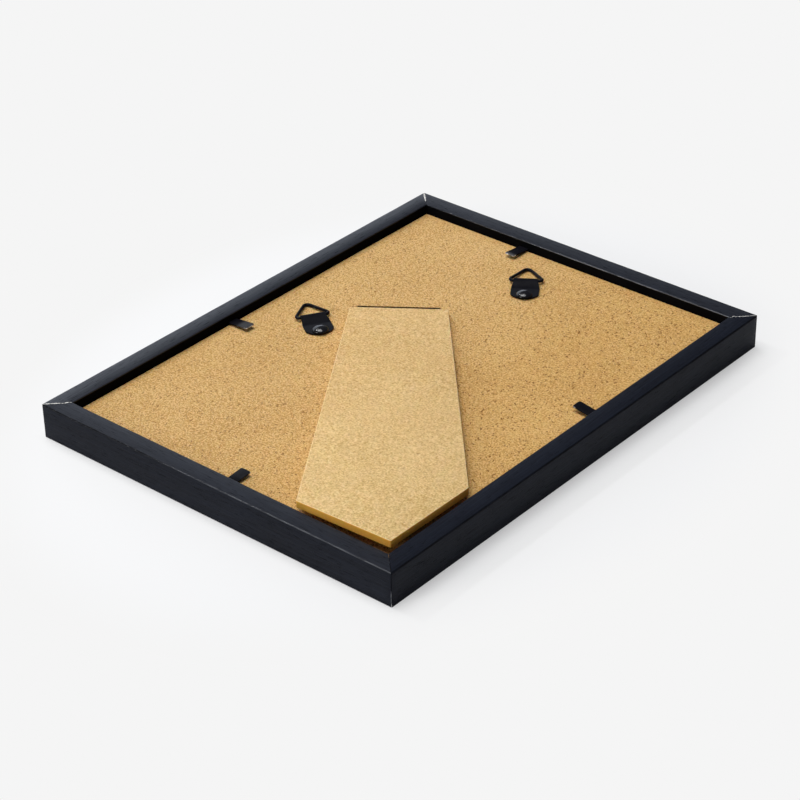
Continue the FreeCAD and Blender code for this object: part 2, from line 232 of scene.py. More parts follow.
class StudioSettings(bpy.types.PropertyGroup):
    """Camera, lamps and floor."""

    camera_place: place_prop("Camera place", "Where the camera stands", (0.51255, -0.59613, 0.48232))
    camera_turn: FloatVectorProperty(
        name="Camera turn", description="How the camera is turned", subtype="EULER", unit="ROTATION",
        default=(math.radians(58.638), math.radians(0.457), math.radians(39.430)),
    )
    lens: number_prop("Lens", "Focal length in millimetres", 109.54)
    shift_x: number_prop("Shift X", "Sideways shift of the picture", -0.0571)
    shift_y: number_prop("Shift Y", "Upward shift of the picture", -0.0213)
    backdrop: colour_prop("Backdrop", "Colour of the floor and of what is behind", 0.913, 0.913, 0.913)
    sky_colour: colour_prop("Sky colour", "Colour of the light from all round", 0.83, 0.89, 1.0)
    sky: number_prop("Sky", "Strength of the light from all round", 0.10)
    bright_sky: number_prop("Bright sky", "Strength of the brighter side", 1.06)
    bright_turn: angle_prop("Bright turn", "Where the bright side is", 165)
    bright_start: number_prop("Bright start", "Where the bright side starts", 0.67)
    bright_end: number_prop("Bright end", "Where the bright side is full", 0.80)
    key_power: power_prop("Key power", "Power of the main lamp", 26.2)
    key_size: length_prop("Key size", "Width of the main lamp", 1500)
    key_place: place_prop("Key place", "Where the main lamp is", (-0.20, -0.10, 2.30))
    side_power: power_prop("Side power", "Power of the lamp on the left", 14.3)
    side_size: length_prop("Side size", "Width of the lamp on the left", 1300)
    side_place: place_prop("Side place", "Where the lamp on the left is", (-0.80, -0.05, 2.20))
    front_power: power_prop("Front power", "Power of the low lamp in front", 11.0)
    front_size: length_prop("Front size", "Width of the low lamp in front", 900)
    front_place: place_prop("Front place", "Where the low lamp in front is", (-0.50, -1.90, 0.75))
    spark_power: power_prop("Spark power", "Power of the small lamp", 1.2)
    spark_size: length_prop("Spark size", "Width of the small lamp", 55)
    spark_place: place_prop("Spark place", "Where the small lamp is", (-0.56, -0.12, 0.70))


SCENE_GROUPS = {
    "photo_frame_rails": RailSizes,
    "photo_frame_leg": LegSizes,
    "photo_frame_tape": TapeSizes,
    "photo_frame_tabs": TabSizes,
    "photo_frame_hangers": HangerSizes,
    "photo_frame_finishes": Finishes,
    "photo_frame_studio": StudioSettings,
}


class Value:
    """A socket in a node tree that is being made. Sums and products of it add Math nodes."""

    def __init__(self, nodes, socket):
        self.nodes = nodes
        self.socket = socket

    def math(self, operation, *others):
        return self.nodes.node("ShaderNodeMath", {"operation": operation}, dict(enumerate((self, *others))))

    def __add__(self, other):
        return self.math("ADD", other)

    def __sub__(self, other):
        return self.math("SUBTRACT", other)

    def __rsub__(self, other):
        return (self * -1) + other

    def __mul__(self, other):
        return self.math("MULTIPLY", other)

    def __pow__(self, other):
        return self.math("POWER", other)

    def __abs__(self):
        return self.math("ABSOLUTE")

    __radd__ = __add__
    __rmul__ = __mul__

    def least(self, other):
        return self.math("MINIMUM", other)

    def most(self, other):
        return self.math("MAXIMUM", other)

    def step(self, low, high, kind="SMOOTHSTEP"):
        """0 at low and 1 at high, with a smooth or straight rise. High may be the smaller one."""
        ends = {"Value": self, "From Min": min(low, high), "From Max": max(low, high)}
        rise = self.nodes.node("ShaderNodeMapRange", {"interpolation_type": kind}, ends)
        return 1 - rise if low > high else rise


class Nodes:
    """The node tree of a material or of the world, which is made anew."""

    def __init__(self, owner, output):
        owner.use_nodes = True
        self.tree = owner.node_tree
        self.tree.nodes.clear()
        self.output = self.tree.nodes.new(output)

    def node(self, kind, settings, inputs, output=0):
        """One node: its settings first, then its sockets' values or links. Gives one output as a Value."""
        made = self.tree.nodes.new(kind)
        for setting, value in settings.items():
            setattr(made, setting, value)
        for socket, value in inputs.items():
            self.connect(made.inputs[socket], value)
        return Value(self, made.outputs[output])

    def connect(self, socket, value):
        if isinstance(value, Value):
            self.tree.links.new(value.socket, socket)
        elif hasattr(value, "__len__") and socket.type == "RGBA":
            socket.default_value = (*value, 1)
        else:
            socket.default_value = value

    def show(self, surface):
        """Makes a shader the one that the tree gives."""
        self.connect(self.output.inputs["Surface"], surface)

    def mixed(self, factor, first, second):
        """A shader between two shaders."""
        return self.node("ShaderNodeMixShader", {}, {0: factor, 1: first, 2: second})


class Paint(Nodes):
    """A material that is being made, round one Principled shader."""

    def __init__(self, name, **constants):
        self.material = bpy.data.materials.new(name)
        super().__init__(self.material, "ShaderNodeOutputMaterial")
        self.shader = self.tree.nodes.new("ShaderNodeBsdfPrincipled")
        self.show(Value(self, self.shader.outputs[0]))
        for socket, value in constants.items():
            self.connect(self.input(socket), value)
        self.place = self.node("ShaderNodeTexCoord", {}, {}, "Object")

    def input(self, socket):
        return self.shader.inputs[socket.replace("_", " ")]

    def axis(self, letter, vector=None):
        """One of a vector's coordinates, or else of the place on the object, in metres."""
        return self.node("ShaderNodeSeparateXYZ", {}, {0: vector or self.place}, "XYZ".index(letter))

    def mask(self, name):
        """A value that is kept on the mesh's faces."""
        return self.node("ShaderNodeAttribute", {"attribute_name": name}, {}, "Fac")

    def stretched(self, scale, turn=0.0, shift=(0, 0, 0)):
        """The object's coordinates, turned about Z, then scaled on each axis, in waves per metre."""
        turned = self.node("ShaderNodeMapping", {}, {"Vector": self.place, "Rotation": (0, 0, turn)})
        return self.node("ShaderNodeMapping", {}, {"Vector": turned, "Scale": scale, "Location": shift})

    def noise(self, vector, scale=1.0, detail=2.0, roughness=0.5, distortion=0.0):
        inputs = {"Vector": vector, "Scale": scale, "Detail": detail, "Roughness": roughness}
        return self.node("ShaderNodeTexNoise", {}, {**inputs, "Distortion": distortion}, "Fac")

    def mix(self, factor, first, second, blend="MIX"):
        """A colour between two colours."""
        settings = {"data_type": "RGBA", "blend_type": blend, "clamp_factor": True}
        return self.node("ShaderNodeMix", settings, {0: factor, 6: first, 7: second}, 2)

    def finish(self, **links):
        """Connects what changes over the surface. Height is in metres and goes through one Bump node."""
        height = links.pop("height", None)
        if height is not None:
            bump = {"Height": height, "Strength": 1.0, "Distance": 1.0}
            links["Normal"] = self.node("ShaderNodeBump", {}, bump)
        for socket, value in links.items():
            self.connect(self.input(socket), value)
        return self.material


made_materials = {}


def material(name, make, *details):
    """Makes each material once."""
    if name not in made_materials:
        made_materials[name] = make(name, *details)
    return made_materials[name]


def colours():
    return bpy.context.scene.photo_frame_finishes


def tinted(colour, *shares):
    """A colour times one number, or times one for each of red, green and blue."""
    return tuple(c * shares[i % len(shares)] for i, c in enumerate(colour))


def painted_wood(name, along, wear_and_highlight, line_width, gloss):
    """Black paint over the grain of a rail that runs along X or Y. Some of its edges are lighter, partly
    paint rubbed thin and partly a painted highlight; its rabbet's faces are painted pure black as shade; and
    its shine is set per rail to match how the light fell on it.
    """
    tones = colours()
    sizes = bpy.context.scene.photo_frame_rails
    paint = Paint(name, Specular_IOR_Level=0.05, Coat_Roughness=0.28)
    lengthwise = along == "X"
    turn = 0.0 if lengthwise else -math.pi / 2
    streak = paint.noise(paint.stretched((55, 1500, 1500), turn), detail=5.0, roughness=0.62)
    pores = paint.noise(paint.stretched((230, 3600, 3600), turn, (3, 7, 1)), detail=2.0).step(0.60, 0.72)
    cloud = paint.noise(paint.stretched((35, 35, 35)), detail=3.0)
    rub_and_highlight = paint.noise(paint.stretched((160, 900, 900), turn, (11, 5, 2)), detail=3.0).step(0.36, 0.60)

    # Distances from the outer, the inner and the upright edge
    run = paint.axis(along)
    across = (half_length if lengthwise else half_width) - abs(paint.axis("Y" if lengthwise else "X"))
    below_back = frame_depth - paint.axis("Z")
    to_wall = across - sizes.wall
    distances = {
        "outer": (across * across + below_back * below_back) ** 0.5,
        "inner": (to_wall * to_wall + below_back * below_back) ** 0.5,
        "upright": (half_width if lengthwise else half_length) - run + below_back.step(8 * MM, 5 * MM) * MM,
    }

    # Lighter edges: partly paint rubbed thin, partly a painted highlight where an edge catches the light
    wear_and_painted_light = 0.0
    for edge, reach, start, end, strength in wear_and_highlight:
        near = distances[edge].step(reach * MM, reach * MM * 0.35)
        wear_and_painted_light = wear_and_painted_light + near * run.step(start * MM, end * MM) * strength
    wear_and_painted_light = wear_and_painted_light * (rub_and_highlight * 0.75 + 0.25)
    line = distances["outer"].step(line_width * MM, line_width * 0.5 * MM) * (rub_and_highlight * 0.5 + 0.5)
    line = line * (1 - (wear_and_painted_light * 9).least(1.0))
    # Painted shade: the rabbet's faces are made pure black and matt, darker than the rest of the paint
    rabbet = to_wall.step(-0.35 * MM, -0.05 * MM) * below_back.step(0.1 * MM, 0.5 * MM)

    raised = (streak - 0.5) * 2.2 + 0.5 + (cloud - 0.5) * 0.9
    colour = paint.mix(raised, tones.paint, tones.paint_grain)
    colour = paint.mix((pores * 0.6).most(line), colour, tinted(tones.paint, 0.4))
    colour = paint.mix(rabbet, paint.mix(wear_and_painted_light, colour, tones.paint_wear_and_highlight), (0, 0, 0))
    # Painted sheen: the back's shine is the rail's own gloss, set to match the light on that rail, and the
    # sides shine less
    sides = 0.12
    sheen = below_back.step(0.6 * MM, 0.1 * MM) * (gloss - sides) + sides - rabbet * sides - line * 0.4
    return paint.finish(
        Base_Color=colour, Roughness=0.5 + streak * 0.16 + pores * 0.15 + wear_and_painted_light * 0.1 + rabbet * 0.3,
        Coat_Weight=sheen.most(0) * (0.6 + streak * 0.8 - pores * 0.8),
        height=streak * 0.00016 + cloud * 0.00016 - pores * 0.00010,
    )


def fibreboard(name, body, light, grain, contrast):
    """Pressed wood fibre: a mottled ground with pale fibres.

    Gives the paint, the ground's colour, where the dark specks are, its slow change of tone, and its height.
    """
    paint = Paint(name, Specular_IOR_Level=0.2, Subsurface_Weight=0.3, Subsurface_Scale=1.0 * MM)
    paint.connect(paint.input("Subsurface_Radius"), (1.0, 0.35, 0.1))
    fine = paint.noise(paint.place, scale=grain, detail=2.0, roughness=0.6)
    mid = paint.noise(paint.place, scale=grain * 0.35, detail=2.0, roughness=0.6)
    broad = paint.noise(paint.place, scale=26.0, detail=3.0)
    spots = paint.noise(paint.stretched((grain * 0.6, grain * 0.8, grain * 0.7), 0.9, (4, 9, 2)), detail=1.0)
    fibre = paint.noise(paint.stretched((grain * 0.4, grain * 1.1, grain), 0.5), detail=1.0, distortion=0.5)
    specks = spots.step(0.38, 0.29)
    flecks = fine.step(0.58, 0.66) * 0.6 + fibre.step(0.57, 0.66) * 0.6
    tone = (fine - 0.5) * contrast + (mid - 0.5) * 0.8 + (broad - 0.5) * 0.8 + 0.5
    colour = paint.mix(tone, tinted(body, 0.78, 0.69, 0.54), tinted(body, 1.19, 1.24, 1.36))
    colour = paint.mix(flecks.least(1.0) * 0.4, colour, light)
    height = fine * 0.0001 + mid * 0.0001 - specks * 0.00006
    return paint, colour, specks, broad, height


def board_finish(name):
    """The back's board with painted shade: darker and browner in its right half, where the light falls off,
    and darker near the rabbet, where the walls shade it.
    """
    tones = colours()
    paint, colour, specks, broad, height = fibreboard(name, tones.board, tones.board_light, 1500.0, 5.6)
    # Painted shade: the board is made darker and browner towards the right, where the light falls off
    shaded_brown_right = paint.axis("X").step(-30 * MM, 50 * MM)
    wall = bpy.context.scene.photo_frame_rails.wall
    to_side = half_width - abs(paint.axis("X")) - wall
    to_end = half_length - abs(paint.axis("Y")) - wall
    # Painted shade near the rails, where their walls shade the board
    near = to_side.least(to_end).step(6 * MM, 0) * (broad * 0.6 + 0.4)
    colour = paint.mix(specks * (shaded_brown_right * 0.45 + 0.8) * 0.9, colour, tones.board_dark)
    colour = paint.mix(shaded_brown_right, colour, (0.945, 0.90, 0.785), "MULTIPLY")
    colour = paint.mix(near * 0.4, colour, tinted(tones.board, 0.80, 0.70, 0.52))
    return paint.finish(Base_Color=colour, Roughness=0.88, height=height)


def leg_finish(name):
    """Smoother board than the back's, with darker sawn edges. Painted light makes it a little paler towards
    its tip, its rounded top edges carry a painted highlight, and its underside is painted dark to deepen the
    shade under its tip.
    """
    tones = colours()
    paint, colour, specks, _, height = fibreboard(name, tones.leg, tones.leg_light, 1350.0, 2.8)
    sawn = paint.mask("sawn")
    marks = paint.noise(paint.stretched((1300, 1300, 200)), detail=2.0)
    colour = paint.mix(specks * 0.36, colour, tones.leg_dark)
    # Painted light: the leg is made paler towards its tip, where the lamps light it less
    colour = paint.mix(paint.axis("Y").step(-20 * MM, -80 * MM), colour, (1.05, 1.085, 1.10), "MULTIPLY")
    # Painted shade: the underside is made dark, to deepen the shade in the gap under the tip
    colour = paint.mix(paint.mask("under") * 0.85, colour, tones.leg_dark)
    # Painted highlight on the rounded top edges
    colour = paint.mix(paint.mask("rim") * 0.7, colour, tinted(tones.leg_light, 1.15))
    colour = paint.mix(sawn, colour, paint.mix(marks, tinted(tones.sawn, 0.88), tones.sawn))
    return paint.finish(Base_Color=colour, Roughness=0.82 + sawn * 0.1, height=height)


def lacquer_finish(name, gloss, relief):
    """Glossy black lacquer with a faint orange peel and a haze."""
    tones = colours()
    paint = Paint(name, Specular_IOR_Level=0.07, Coat_Roughness=0.07)
    peel = paint.noise(paint.place, scale=900.0, detail=2.0)
    haze = paint.noise(paint.place, scale=260.0, detail=4.0, roughness=0.7)
    return paint.finish(
        Base_Color=paint.mix(haze, tones.lacquer, tinted(tones.lacquer, 2.2)), Roughness=0.24 + haze * 0.24,
        Coat_Weight=haze.step(0.32, 0.55) * gloss, height=(peel * 0.00003 + haze * 0.00004) * relief,
    )


def tab_finish(name, pale, rub_and_highlight):
    """Black steel strip with painted light: its outer half is made paler where it is lit, a painted highlight
    lies near its tip, and the tip's sheared edges are bare steel made bright as a painted highlight.
    """
    tones = colours()
    paint = Paint(name, Specular_IOR_Level=0.04)
    haze = paint.noise(paint.place, scale=500.0, detail=4.0, roughness=0.7)
    patch = paint.noise(paint.place, scale=700.0, detail=2.0).step(0.40, 0.58)
    run = paint.mask("run")
    # Painted light: the outer half is made paler where it is lit, and the part near the tip carries a painted
    # highlight
    wear_and_painted_light = (run.step(0.35, 0.6) * pale).most(run.step(0.75, 1.0) * rub_and_highlight) * (haze + 0.5)
    colour = paint.mix(haze, tones.lacquer, tinted(tones.lacquer, 2.5))
    colour = paint.mix(wear_and_painted_light, colour, tones.steel)
    # The tip's sheared edges are bare steel, made brighter than steel as a painted highlight
    colour = paint.mix(paint.mask("edge") * (patch * 0.85 + 0.15), colour, tinted(tones.steel, 1.5))
    return paint.finish(Base_Color=colour, Roughness=0.3 + haze * 0.3, height=haze * 0.00004)


def bare_steel(name):
    tones = colours()
    paint = Paint(name, Metallic=1.0)
    rolled = paint.noise(paint.stretched((300, 300, 4000)), detail=3.0)
    colour = paint.mix(rolled, tinted(tones.steel, 0.8), tones.steel)
    return paint.finish(Base_Color=colour, Roughness=0.28 + rolled * 0.2, height=rolled * 0.00001)


def clear_glass(name):
    """Float glass with a few smears. Its low alpha lets most light straight through to the picture."""
    paint = Paint(name, Transmission_Weight=1.0, IOR=1.5, Alpha=0.15)
    smear = paint.noise(paint.stretched((22, 60, 22), 0.6), detail=3.0).step(0.5, 0.8)
    return paint.finish(Base_Color=(0.93, 0.97, 0.95), Roughness=0.01 + smear * 0.05)


def paper_finish(name):
    tones = colours()
    paint = Paint(name, Specular_IOR_Level=0.2)
    felt = paint.noise(paint.place, scale=900.0, detail=3.0)
    colour = paint.mix(felt, tinted(tones.paper, 0.96), tones.paper)
    return paint.finish(Base_Color=colour, Roughness=0.9, height=felt * 0.00002)


def cloth_finish(name):
    """Plain weave on the strip's own UV map, which is in metres."""
    tones = colours()
    paint = Paint(name, Sheen_Weight=0.02, Specular_IOR_Level=0.0)
    uv = paint.node("ShaderNodeTexCoord", {}, {}, "UV")
    threads = 2 * math.pi * 2200
    over = (paint.axis("X", uv) * threads).math("SINE") * (paint.axis("Y", uv) * threads).math("SINE")
    lint = paint.noise(uv, scale=700.0, detail=3.0)
    colour = paint.mix(over * 0.4 + 0.3 + lint * 0.3, tinted(tones.tape, 0.6), tinted(tones.tape, 2.4))
    return paint.finish(Base_Color=colour, Roughness=0.85, height=over * 0.00004 + lint * 0.00003)


def filler_finish(name):
    tones = colours()
    paint = Paint(name, Specular_IOR_Level=0.3)
    patch = paint.noise(paint.place, scale=1600.0, detail=2.0)
    colour = paint.mix(patch.step(0.35, 0.65), tinted(tones.chipped_wood, 0.6), tones.chipped_wood)
    return paint.finish(Base_Color=colour, Roughness=0.8, height=patch * 0.00003)


def seat(origin, along, up=UP):
    """A matrix that puts X along a direction and Z near up, at a point."""
    x = Vector(along).normalized()
    y = Vector(up).cross(x).normalized()
    z = x.cross(y)
    turn = Matrix((x, y, z)).transposed().to_4x4()
    return Matrix.Translation(Vector(origin)) @ turn


def new_piece(bm, name, finish, body=None, replaces=(), smooth=math.radians(35)):
    """Turns a bmesh into a finished piece."""
    bmesh.ops.recalc_face_normals(bm, faces=bm.faces)
    mesh = bpy.data.meshes.new(name)
    bm.to_mesh(mesh)
    bm.free()
    mesh.polygons.foreach_set("use_smooth", [True] * len(mesh.polygons))
    mesh.set_sharp_from_angle(angle=smooth)
    mesh.materials.append(finish)
    piece = bpy.data.objects.new(name, mesh)
    bpy.context.scene.collection.objects.link(piece)
    if replaces:
        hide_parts(*replaces)
    if body:
        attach(piece, body)
    return piece


def dress(node, finish):
    """Gives a CAD node a better material."""
    target = frame["nodes"][node]
    target.data.materials.clear()
    target.data.materials.append(finish)


def long_edges(bm, point):
    """The edges that run along X through a point in (y, z)."""
    near = 1e-6
    return [edge for edge in bm.edges if all((v.co.yz - Vector(point)).length < near for v in edge.verts)]


def round_edges(bm, edges, radius, steps):
    bmesh.ops.bevel(
        bm, geom=edges, offset=radius, segments=steps, profile=0.5, affect="EDGES", material=-1,
        clamp_overlap=True,
    )


def whole(bm):
    return list(bm.verts) + list(bm.edges) + list(bm.faces)


def kept(geom, kind):
    """The vertices or edges in what an operator gives."""
    return [item for item in geom if isinstance(item, kind)]


def cut_away(bm, point, normal):
    """Cuts off what lies beyond a plane and closes the cut."""
    cut = bmesh.ops.bisect_plane(
        bm, geom=whole(bm), dist=1e-7, plane_co=Vector(point), plane_no=Vector(normal), clear_outer=True
    )
    edges = kept(cut["geom_cut"], bmesh.types.BMEdge)
    if edges:
        bmesh.ops.contextual_create(bm, geom=edges)


def cut_along_x(bm, start, end, step):
    """Adds cuts across X, so that the mesh can bend or wave."""
    count = max(1, round((end - start) / step))
    for i in range(1, count):
        place = Vector((start + (end - start) * i / count, 0, 0))
        bmesh.ops.bisect_plane(bm, geom=whole(bm), dist=1e-7, plane_co=place, plane_no=Vector((1, 0, 0)))


def solid_of(bm, outline, draw):
    """A face through some points, drawn out along a vector."""
    face = bm.faces.new([bm.verts.new(point) for point in outline])
    drawn = bmesh.ops.extrude_face_region(bm, geom=[face])
    bmesh.ops.translate(bm, verts=kept(drawn["geom"], bmesh.types.BMVert), vec=draw)


def eased(share):
    """0 at 0 and 1 at 1, with a smooth rise between them."""
    return share * share * (3 - 2 * share)


def set_in_place(bm, matrix):
    bmesh.ops.transform(bm, matrix=matrix, verts=bm.verts)


def rail_seat(side):
    """Where a rail's frame stands: X along the rail, Y inwards from its outer face."""
    low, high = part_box(side + "_rail")
    middle = (low + high) / 2
    inwards = {"bottom": (0, 1), "right": (-1, 0), "top": (0, -1), "left": (1, 0)}[side]
    outer = {"bottom": low.y, "right": high.x, "top": high.y, "left": low.x}[side]
    along = Vector((inwards[1], -inwards[0], 0))
    origin = Vector((middle.x, outer, 0)) if inwards[0] == 0 else Vector((outer, middle.y, 0))
    return seat(origin, along)


def rail_solid(side, sizes):
    """One mitred rail, made from its section."""
    low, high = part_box(side + "_rail")
    length = max((high - low).x, (high - low).y)
    reach = min((high - low).x, (high - low).y)
    bm = bmesh.new()
    front, lip, rabbet, wall = (0, 0), (reach, 0), (sizes.wall, sizes.lip_depth), (sizes.wall, frame_depth)
    back = (0, frame_depth)
    section = (front, lip, (reach, sizes.lip_depth), rabbet, wall, back)
    solid_of(bm, [(-length / 2, y, z) for y, z in section], (length, 0, 0))
    radii = (sizes.front_edge, sizes.lip_edge, sizes.wall_edge, sizes.back_edge)
    for point, radius in zip((front, lip, wall, back), radii):
        round_edges(bm, long_edges(bm, point), radius, sizes.edge_steps)
    cut_along_x(bm, -length / 2, length / 2, sizes.cut_step)
    for v in bm.verts:
        across = v.co / sizes.wave_width
        place = Vector((v.co.x / sizes.wave_length, across.y, across.z + len(side)))
        v.co.y += noise.noise(place) * sizes.waviness * (v.co.z > sizes.lip_depth)
        v.co.z += noise.noise(place + UP * 40) * sizes.waviness * (v.co.z > frame_depth - sizes.wall)
    for end in (-1, 1):
        for i in range(1, sizes.corner_steps + 1):
            angle = math.radians(45) * (i - 0.5) / sizes.corner_steps
            out = Vector((end * math.sin(angle), -math.cos(angle), 0))
            centre = Vector((end * (length / 2 - sizes.corner), sizes.corner, 0))
            cut_away(bm, centre + out * sizes.corner, out)
        mitre = Vector((end, 1, 0)).normalized()
        cut_away(bm, Vector((end * length / 2, 0, 0)) - mitre * sizes.mitre_gap / 2, mitre)
    set_in_place(bm, rail_seat(side))
    return bm


# For each rail: the width in millimetres of the dark line at its outer edge, and how much its back shines.
# The shine is set per rail to match how the light fell on it, so the four rails are lit and shaded copies of
# one paint: painted sheen.
RAIL_LOOKS = {"bottom": (0.42, 0.57), "right": (0.7, 0.11), "top": (0.3, 0.80), "left": (0.3, 0.88)}

# Which edge is lighter, how wide in millimetres, where the lightening starts and is full, and how strong it
# is. The lighter edges are partly paint rubbed thin and partly a painted highlight; the bottom rail's upright
# corner is all painted highlight.
RAIL_WEAR_AND_HIGHLIGHT = {
    "bottom": (
        ("outer", 0.36, -35, 10, 0.30), ("upright", 0.5, 80, 82, 1.3), ("inner", 0.25, -84, -80, 0.03)
    ),
    "right": (("inner", 0.25, -109, -100, 0.04),),
    "top": (("inner", 0.5, -80, 30, 0.6), ("outer", 0.25, -84, -80, 0.03)),
    "left": (("outer", 0.3, -109, -100, 0.03), ("inner", 0.25, -109, -100, 0.03)),
}


class PHOTOFRAME_OT_rails(bpy.types.Operator):
    """Make the four mitred rails with their painted grain"""

    bl_idname = "photoframe.rails"
    bl_label = "Rails"

    def execute(self, context):
        sizes = context.scene.photo_frame_rails
        for side in SIDES:
            along = "X" if side in ("bottom", "top") else "Y"
            looks = (along, RAIL_WEAR_AND_HIGHLIGHT[side], *RAIL_LOOKS[side])
            finish = material("painted_wood_" + side, painted_wood, *looks)
            new_piece(
                rail_solid(side, sizes), "painted_rail_" + side, finish, "frame",
                [side + "_rail"], math.radians(25),
            )
        return {"FINISHED"}


class PHOTOFRAME_OT_mitre_chips(bpy.types.Operator):
    """Lay the pale chips of bare wood and filler in three of the mitres"""

    bl_idname = "photoframe.mitre_chips"
    bl_label = "Mitre Chips"

    step: length_prop("Step", "Length of one chip", 0.28)
    thickness: length_prop("Thickness", "Thickness of a chip", 0.05)
    lift: length_prop("Lift", "Height of a chip's top above the rails", 0.02)
    sway: length_prop("Sway", "How far the line of chips strays from the mitre", 0.1)
    thinnest: length_prop("Thinnest", "Half the width below which a chip is left out", 0.01)

    # Waves per metre of the line's sway, and of its edge's coarse and fine teeth
    sway_waves, coarse_waves, fine_waves = 800, 1500, 4000

    # For each corner: where the marks start and end from the outer corner, their width, the share that shows,
    # and how far and over what length they swing from side to side at the inner end
    marks = {
        "bottom_left": ((-1, -1), 0.2, 11.0, 0.50, 0.95, 0.25, 4.5),
        "top_right": ((1, 1), 0.5, 11.2, 0.28, 0.95, 0.5, 2.6),
        "top_left": ((-1, 1), 0.1, 8.3, 0.58, 0.95, 0.0, 0.0),
    }

    def execute(self, context):
        finish = material("chipped_wood", filler_finish)
        for corner, mark in self.marks.items():
            bm = self.strip(corner, *mark)
            bmesh.ops.recalc_face_normals(bm, faces=bm.faces)
            bmesh.ops.solidify(bm, geom=list(bm.faces), thickness=self.thickness)
            new_piece(bm, "mitre_chips_" + corner, finish, "frame")
        return {"FINISHED"}

    def strip(self, corner, signs, start, end, width, share, swing, swing_length):
        """A ragged strip along a mitre, broken where it is too thin."""
        outer = Vector((signs[0] * half_width, signs[1] * half_length, frame_depth + self.lift))
        inwards = Vector((-signs[0], -signs[1], 0)).normalized()
        aside = UP.cross(inwards)
        seed = len(corner)
        bm = bmesh.new()
        last = None
        count = round((end - start) * MM / self.step)
        for i in range(count + 1):
            run = start * MM + i * self.step
            left = end * MM - run
            sway = noise.noise(Vector((run * self.sway_waves, 3.1, seed))) * self.sway
            if left < swing_length * MM:
                sway += swing * MM * math.sin(left / (swing_length * MM) * 2 * math.pi)
            fade = math.sin(math.pi * min(1.0, (i + 0.5) / count)) ** 0.3
            rough = noise.noise(Vector((run * self.coarse_waves, seed, 0.5)))
            rough += 0.5 * noise.noise(Vector((run * self.fine_waves, 2.5, 9)))
            half = max(0.0, share + rough) * width * MM * fade / 2
            middle = outer + inwards * run + aside * sway
            pair = ()
            if half > self.thinnest:
                pair = [bm.verts.new(middle + aside * side * half) for side in (1, -1)]
            if last and pair:
                bm.faces.new((last[0], last[1], pair[1], pair[0]))
            last = pair
        bmesh.ops.delete(bm, geom=[v for v in bm.verts if not v.link_faces], context="VERTS")
        return bm


class PHOTOFRAME_OT_board(bpy.types.Operator):
    """Finish the backboard, the pane, the sheet behind it and the corner nails"""

    bl_idname = "photoframe.board"
    bl_label = "Board and Pane"

    seam: length_prop("Seam", "Bevel that takes the sharpness off the pane's edges", 0.25)
    inner_gap: length_prop("Inner gap", "Gap between the pane and the sheet", 0.02)

    def pane(self):
        low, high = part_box("glazing")
        bm = bmesh.new()
        plan = ((low.x, low.y), (high.x, low.y), (high.x, high.y), (low.x, high.y))
        solid_of(bm, [(x, y, low.z) for x, y in plan], (0, 0, high.z - low.z - self.inner_gap))
        round_edges(bm, list(bm.edges), self.seam, 1)
        finish = material("pane_glass", clear_glass)
        new_piece(bm, "glass_pane", finish, "frame", replaces=["glazing"])

    def execute(self, context):
        self.pane()
        dress("backboard", material("back_fibreboard", board_finish))
        dress("picture_insert", material("insert_paper", paper_finish))
        for name in frame["nodes"]:
            if name.startswith("corner_nail"):
                dress(name, material("nail_steel", bare_steel))
        return {"FINISHED"}


def leg_seat(sizes):
    """The leg's own frame at the heel: X along the hinge, -Y down the leg, tilted open."""
    hinge = joints["leg_hinge"]
    along = -Vector(hinge["axis"])
    return seat(hinge["pos_m"], along) @ Matrix.Rotation(-sizes.opening, 4, "X")


class PHOTOFRAME_OT_leg(bpy.types.Operator):
    """Make the easel leg with softened sawn edges"""

    bl_idname = "photoframe.leg"
    bl_label = "Easel Leg"

    def execute(self, context):
        sizes = context.scene.photo_frame_leg
        tape = context.scene.photo_frame_tape
        left = Vector((-math.cos(sizes.left_turn), math.sin(sizes.left_turn))) * sizes.left_edge
        right = Vector((math.cos(sizes.right_turn), math.sin(sizes.right_turn))) * sizes.right_edge
        tip = Vector((sizes.tip_shift, -sizes.length))
        heel = Vector((sizes.heel_width / 2, 0))
        bm = bmesh.new()
        outline = [(*point, 0) for point in (-heel, tip + left, tip, tip + right, heel)]
        solid_of(bm, outline, (0, 0, sizes.thickness))
        upright = [e for e in bm.edges if abs((e.verts[0].co - e.verts[1].co).z) > sizes.thickness / 2]
        round_edges(bm, upright, sizes.corner, 3)
        bmesh.ops.recalc_face_normals(bm, faces=bm.faces)
        rims = [e for e in bm.edges if abs(e.verts[0].co.z - e.verts[1].co.z) < 1e-7]
        round_edges(bm, rims, sizes.edge, 3)
        bmesh.ops.recalc_face_normals(bm, faces=bm.faces)
        sawn, under, rim = (bm.faces.layers.float.new(mask) for mask in ("sawn", "under", "rim"))
        for face in bm.faces:
            face[sawn] = (1.0 if face.normal.y < -0.3 else 0.4) * (abs(face.normal.z) < 0.6)
            # The under faces are made dark as painted shade
            face[under] = face.normal.z < -0.6
            # The rim faces carry a painted highlight
            face[rim] = 0.5 < face.normal.z < 0.98
        bmesh.ops.translate(bm, verts=bm.verts, vec=(0, 0, tape.thickness / 2))
        set_in_place(bm, leg_seat(sizes))
        finish = material("leg_fibreboard", leg_finish)
        new_piece(bm, "stand_leg", finish, "leg", ["easel_leg"])
        return {"FINISHED"}


